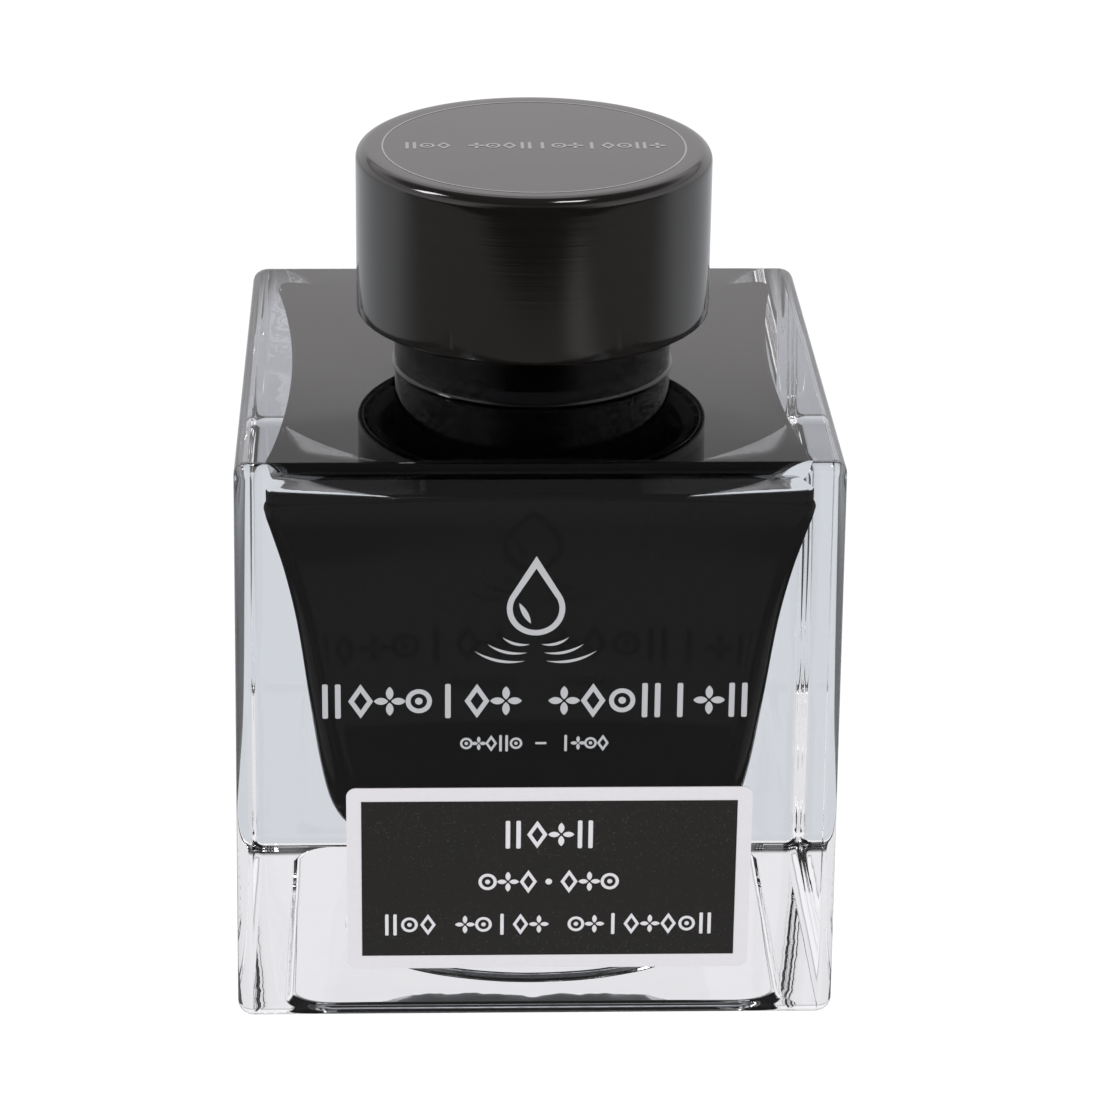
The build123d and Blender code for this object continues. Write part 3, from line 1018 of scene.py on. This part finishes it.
# ---- the studio --------------------------------------------------------------------------
@dataclass
class Studio:
    """The pale floor, the soft light and the camera."""

    azimuth: float = -1.884
    elevation: float = 23.16
    roll: float = 0.551
    distance: float = 0.3639
    lens: float = 127.33
    target: tuple[float, float, float] = (-0.000921, 0.0, 0.035092)
    shift_x: float = 0.0246
    floor_front: tuple[float, float, float, float] = (0.24, 0.235, 0.23, 1.0)
    floor_back: tuple[float, float, float, float] = (0.68, 0.695, 0.72, 1.0)
    # painted shadow on the floor under the bottle: grey under its back half, nearly black under its
    # front half
    under: tuple[float, float, float, float] = (0.36, 0.37, 0.395, 1.0)
    under_front: tuple[float, float, float, float] = (0.015, 0.015, 0.016, 1.0)
    # height of the direction looked in, and share of the wall's light there
    wall: tuple[tuple[float, float], ...] = (
        (0.0, 0.90), (1.0, 0.14), (0.20, 1.0), (0.33, 1.0), (0.36, 0.82), (0.385, 0.56),
        (0.41, 0.62), (0.44, 0.86), (0.50, 0.86), (0.62, 0.45), (0.75, 0.14),
    )
    wall_light: float = 1.0
    warmth: tuple[float, float, float, float] = (1.0, 0.972, 0.982, 1.0)
    front_share: float = 0.02
    # the middles of the lamps in the direction looked in, and half their widths
    lamps: tuple[tuple[tuple[str, float, float], ...], ...] = (
        (("X", -0.69, 0.13), ("Y", 0.03, 0.10), ("Z", 0.72, 0.3)),
        (("X", 0.22, 0.11), ("Y", -0.06, 0.12), ("Z", 0.97, 0.3)),
    )
    lamp_light: float = 16.0
    side_glow: float = 0.34

    def camera(self) -> None:
        """Place the camera."""
        data = bpy.data.cameras.new("camera")
        data.lens = self.lens
        data.sensor_width = 36.0
        data.shift_x = self.shift_x
        data.clip_start = 0.01
        data.clip_end = 20.0
        cam = bpy.data.objects.new("camera", data)
        bpy.context.scene.collection.objects.link(cam)
        a, e, r = (math.radians(v) for v in (self.azimuth, self.elevation, self.roll))
        back = Vector((math.sin(a) * math.cos(e), -math.cos(a) * math.cos(e), math.sin(e)))
        right = Vector((math.cos(a), math.sin(a), 0.0))
        up = back.cross(right)
        x = right * math.cos(r) + up * math.sin(r)
        y = up * math.cos(r) - right * math.sin(r)
        turn = Matrix((x, y, back)).transposed().to_4x4()
        cam.matrix_world = Matrix.Translation(Vector(self.target) + back * self.distance) @ turn
        bpy.context.scene.camera = cam

    def floor(self) -> None:
        """Lay the pale floor, which mirrors see darker in front of the bottle than behind it."""
        bpy.ops.object.select_all(action="DESELECT")
        bpy.ops.mesh.primitive_circle_add(vertices=96, radius=3.0, fill_type="NGON")
        floor = rename(bpy.context.object, "floor")
        floor.location.z = -0.00005
        settle(floor)
        paint = Paint("floor_white")
        paint.set(
            Base_Color=(0.0, 0.0, 0.0, 1.0), Roughness=0.9, Specular_IOR_Level=0.0,
            Emission_Strength=1.0,
        )
        split = paint.node("ShaderNodeSeparateXYZ")
        paint.link(paint.place(), split.inputs[0])
        depth = paint.node("ShaderNodeMapRange", interpolation_type="SMOOTHSTEP")
        depth.inputs["From Min"].default_value = -0.06
        depth.inputs["From Max"].default_value = 0.05
        paint.link(split.outputs["Y"], depth.inputs["Value"])
        seen = paint.node("ShaderNodeMix", data_type="RGBA")
        seen.inputs["B"].default_value = self.floor_back
        paint.link(self.front(paint, split), seen.inputs["A"])
        paint.link(depth.outputs[0], seen.inputs["Factor"])
        rays = paint.node("ShaderNodeLightPath")
        clear = paint.node("ShaderNodeMix", data_type="RGBA")
        clear.inputs["B"].default_value = self.floor_back
        paint.link(seen.outputs["Result"], clear.inputs["A"])
        paint.link(rays.outputs["Is Transmission Ray"], clear.inputs["Factor"])
        mirror = paint.node("ShaderNodeMath", operation="MAXIMUM")
        paint.link(rays.outputs["Is Glossy Ray"], mirror.inputs[0])
        paint.link(rays.outputs["Is Transmission Ray"], mirror.inputs[1])
        pick = paint.node("ShaderNodeMix", data_type="RGBA")
        pick.inputs["A"].default_value = (1.04, 1.04, 1.04, 1.0)
        paint.link(self.shade(paint, split, clear.outputs["Result"]), pick.inputs["B"])
        paint.link(mirror.outputs[0], pick.inputs["Factor"])
        paint.feed(pick.outputs["Result"], "Emission Color")
        paint.material.cycles.emission_sampling = "NONE"
        dress(floor, paint.material)

    def shade(
        self, paint: Paint, split: bpy.types.Node, colour: bpy.types.NodeSocket
    ) -> bpy.types.NodeSocket:
        """Darken the floor right under the bottle, where its ink keeps the light off.

        Args:
            paint: The floor's material under construction.
            split: The node that gives the place on the floor.
            colour: The floor's colour so far.

        Returns:
            The darkened colour.
        """
        reach = []
        for axis in ("X", "Y"):
            size = paint.node("ShaderNodeMath", operation="ABSOLUTE")
            paint.link(split.outputs[axis], size.inputs[0])
            reach.append(size.outputs[0])
        far = paint.node("ShaderNodeMath", operation="MAXIMUM")
        edge = paint.node("ShaderNodeMapRange", interpolation_type="SMOOTHSTEP")
        edge.inputs["From Min"].default_value = 0.0262
        edge.inputs["From Max"].default_value = 0.0282
        dim = paint.node("ShaderNodeMix", data_type="RGBA")
        # painted shadow: nearly black under the front half of the bottle, grey under the back half
        back = paint.node("ShaderNodeMapRange", interpolation_type="SMOOTHSTEP")
        back.inputs["From Min"].default_value = -0.016
        back.inputs["From Max"].default_value = 0.0
        tone = paint.node("ShaderNodeMix", data_type="RGBA")
        tone.inputs["A"].default_value = self.under_front
        tone.inputs["B"].default_value = self.under
        for source, target in (
            (reach[0], far.inputs[0]),
            (reach[1], far.inputs[1]),
            (far.outputs[0], edge.inputs["Value"]),
            (split.outputs["Y"], back.inputs["Value"]),
            (back.outputs[0], tone.inputs["Factor"]),
            (tone.outputs["Result"], dim.inputs["A"]),
            (edge.outputs[0], dim.inputs["Factor"]),
            (colour, dim.inputs["B"]),
        ):
            paint.link(source, target)
        return dim.outputs["Result"]

    def front(self, paint: Paint, split: bpy.types.Node) -> bpy.types.NodeSocket:
        """Darken the floor far in front, and lighten it a little to the right of the front.

        Args:
            paint: The floor's material under construction.
            split: The node that gives the place on the floor.

        Returns:
            The colour of the floor in front.
        """
        far = paint.node("ShaderNodeMapRange", interpolation_type="SMOOTHSTEP")
        far.inputs["From Min"].default_value = -0.215
        far.inputs["From Max"].default_value = -0.185
        far.inputs["To Min"].default_value = 0.04
        paint.link(split.outputs["Y"], far.inputs["Value"])
        off = paint.node("ShaderNodeMath", operation="SUBTRACT")
        off.inputs[1].default_value = 0.085
        size = paint.node("ShaderNodeMath", operation="ABSOLUTE")
        glow = paint.node("ShaderNodeMapRange", interpolation_type="SMOOTHSTEP")
        glow.inputs["From Min"].default_value = 0.045
        glow.inputs["From Max"].default_value = 0.0
        glow.inputs["To Min"].default_value = 1.0
        glow.inputs["To Max"].default_value = 1.0 + self.side_glow / self.floor_front[0]
        share = paint.node("ShaderNodeMath", operation="MULTIPLY")
        tone = paint.node("ShaderNodeMix", data_type="RGBA", clamp_factor=False)
        tone.inputs["A"].default_value = (0.0, 0.0, 0.0, 1.0)
        tone.inputs["B"].default_value = self.floor_front
        for source, target in (
            (split.outputs["X"], off.inputs[0]),
            (off.outputs[0], size.inputs[0]),
            (size.outputs[0], glow.inputs["Value"]),
            (far.outputs[0], share.inputs[0]),
            (glow.outputs[0], share.inputs[1]),
            (share.outputs[0], tone.inputs["Factor"]),
        ):
            paint.link(source, target)
        return tone.outputs["Result"]

    def light(self) -> None:
        """Light the bottle evenly, and give its mirrors a bright wall and one soft lamp."""
        world = bpy.data.worlds.new("studio")
        world.use_nodes = True
        world.cycles.sampling_method = "NONE"
        bpy.context.scene.world = world
        tree = world.node_tree
        tree.nodes.clear()
        out = put(tree, "ShaderNodeOutputWorld")
        glow = put(tree, "ShaderNodeBackground")
        coords = put(tree, "ShaderNodeTexCoord")
        split = put(tree, "ShaderNodeSeparateXYZ")
        wall = put(tree, "ShaderNodeFloatCurve")
        curve = wall.mapping.curves[0]
        for (x, y), point in zip(self.wall[:2], curve.points):
            point.location = (x, y)
        for x, y in self.wall[2:]:
            curve.points.new(x, y)
        wall.mapping.update()
        full = put(tree, "ShaderNodeMath", operation="MULTIPLY")
        full.inputs[1].default_value = self.wall_light
        turn = put(tree, "ShaderNodeMapRange", interpolation_type="SMOOTHSTEP")
        turn.inputs["From Min"].default_value = -0.93
        turn.inputs["From Max"].default_value = -0.62
        turn.inputs["To Min"].default_value = self.front_share
        only_mirror = put(tree, "ShaderNodeMix", data_type="FLOAT")
        only_mirror.inputs["B"].default_value = 1.0
        room = put(tree, "ShaderNodeMath", operation="MULTIPLY")
        lamp = self.lamp(tree, split)
        studio = put(tree, "ShaderNodeMath", operation="ADD")
        rays = put(tree, "ShaderNodeLightPath")
        mirror = put(tree, "ShaderNodeMath", operation="MAXIMUM")
        pick = put(tree, "ShaderNodeMix", data_type="FLOAT")
        even = put(tree, "ShaderNodeMath", operation="MULTIPLY_ADD")
        even.inputs[1].default_value = 0.24
        even.inputs[2].default_value = 0.82
        glow.inputs["Color"].default_value = self.warmth
        for source, target in (
            (coords.outputs["Generated"], split.inputs[0]),
            (split.outputs["Z"], wall.inputs["Value"]),
            (wall.outputs[0], full.inputs[0]),
            (split.outputs["Y"], turn.inputs["Value"]),
            (full.outputs[0], room.inputs[0]),
            (turn.outputs[0], only_mirror.inputs["A"]),
            (rays.outputs["Is Transmission Ray"], only_mirror.inputs["Factor"]),
            (only_mirror.outputs["Result"], room.inputs[1]),
            (room.outputs[0], studio.inputs[0]),
            (lamp, studio.inputs[1]),
            (rays.outputs["Is Glossy Ray"], mirror.inputs[0]),
            (rays.outputs["Is Transmission Ray"], mirror.inputs[1]),
            (mirror.outputs[0], pick.inputs["Factor"]),
            (rays.outputs["Is Camera Ray"], even.inputs[0]),
            (even.outputs[0], pick.inputs["A"]),
            (studio.outputs[0], pick.inputs["B"]),
            (pick.outputs["Result"], glow.inputs["Strength"]),
            (glow.outputs[0], out.inputs["Surface"]),
        ):
            tree.links.new(source, target)

    def lamp(self, tree: bpy.types.NodeTree, split: bpy.types.Node) -> bpy.types.NodeSocket:
        """Add the soft lamps over the bottle to the room.

        Args:
            tree: The world's nodes.
            split: The node that gives the direction looked in.

        Returns:
            The lamps' light.
        """
        total = None
        for window in self.lamps:
            light = None
            for axis, middle, half in window:
                off = put(tree, "ShaderNodeMath", operation="SUBTRACT")
                off.inputs[1].default_value = middle
                size = put(tree, "ShaderNodeMath", operation="ABSOLUTE")
                edge = put(tree, "ShaderNodeMapRange", interpolation_type="SMOOTHSTEP")
                edge.inputs["From Min"].default_value = half
                edge.inputs["From Max"].default_value = half * 0.6
                edge.inputs["To Max"].default_value = self.lamp_light if light is None else 1.0
                tree.links.new(split.outputs[axis], off.inputs[0])
                tree.links.new(off.outputs[0], size.inputs[0])
                tree.links.new(size.outputs[0], edge.inputs["Value"])
                light = self.merge(tree, "MULTIPLY", light, edge.outputs[0])
            total = self.merge(tree, "ADD", total, light)
        return total

    def merge(
        self, tree: bpy.types.NodeTree, how: str, one: bpy.types.NodeSocket | None,
        other: bpy.types.NodeSocket,
    ) -> bpy.types.NodeSocket:
        """Add or multiply two lights.

        Args:
            tree: The node tree.
            how: The operation's name.
            one: The light so far, or None at the start.
            other: The next light.

        Returns:
            The light of both.
        """
        if one is None:
            return other
        both = put(tree, "ShaderNodeMath", operation=how)
        tree.links.new(one, both.inputs[0])
        tree.links.new(other, both.inputs[1])
        return both.outputs[0]

    def build(self) -> None:
        """Set up the camera, the floor and the light."""
        self.camera()
        self.floor()
        self.light()
        scene = bpy.context.scene
        scene.view_settings.view_transform = "Standard"
        scene.cycles.max_bounces = 32
        scene.cycles.glossy_bounces = 24
        scene.cycles.transmission_bounces = 24
        scene.cycles.diffuse_bounces = 3


def main() -> None:
    """Build the new pieces in order, dress them and hang them on their bodies, and dress the nodes
    that keep their shape.
    """
    logging.basicConfig(level=logging.INFO, format="%(message)s")
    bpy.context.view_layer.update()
    Studio().build()
    grain, wear = grain_effect(), wear_effect()

    bottle = Bottle()
    glass = bottle.glass()
    dress(glass, ClearGlass().make(wear))
    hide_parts("glass_bottle")
    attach(glass, Body.BOTTLE.value)
    LOG.info("glass: %d faces", len(glass.data.polygons))

    ink = bottle.ink()
    dress(ink, BlackInk().make(wear))
    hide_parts("ink_fill")
    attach(ink, Body.BOTTLE.value)
    LOG.info("ink: %d faces", len(ink.data.polygons))

    film = bottle.film()
    dress(film, BlackInk().make(wear))
    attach(film, Body.BOTTLE.value)

    shell = Cap().shell()
    dress(shell, BlackAnodised().make(wear))
    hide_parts("cap_shell")
    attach(shell, Body.CAP.value)
    LOG.info("cap shell: %d faces", len(shell.data.polygons))

    finishes = {
        "label_paper": Coated(
            "label_paper", (0.80, 0.79, 0.825), (0.86, 0.85, 0.885), 0.45, 1800.0
        ),
        "label_print": Coated(
            "label_print", (0.014, 0.0132, 0.012), (0.019, 0.018, 0.0165), 0.55, 9000.0, 0.68,
            0.000003, (0.07, 0.07, 0.065),
        ),
        "glass_print": Coated(
            "glass_print", (0.50, 0.52, 0.54), (0.60, 0.61, 0.63), 0.4, 6000.0
        ),
        "cap_top_print": Coated(
            "cap_top_print", (0.34, 0.33, 0.33), (0.42, 0.41, 0.41), 0.16, 6000.0
        ),
        "cap_insert": Coated(
            "cap_insert", (0.010, 0.010, 0.010), (0.014, 0.014, 0.014), 0.42, 900.0
        ),
        "cap_liner": Coated(
            "cap_liner", (0.72, 0.72, 0.70), (0.80, 0.80, 0.78), 0.7, 1500.0, 0.6, 0.00004
        ),
    }
    for node, finish in finishes.items():
        dress(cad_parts[node], finish.make(grain, wear))
        LOG.info("%s dressed", node)


if __name__ == "__main__":
    main()
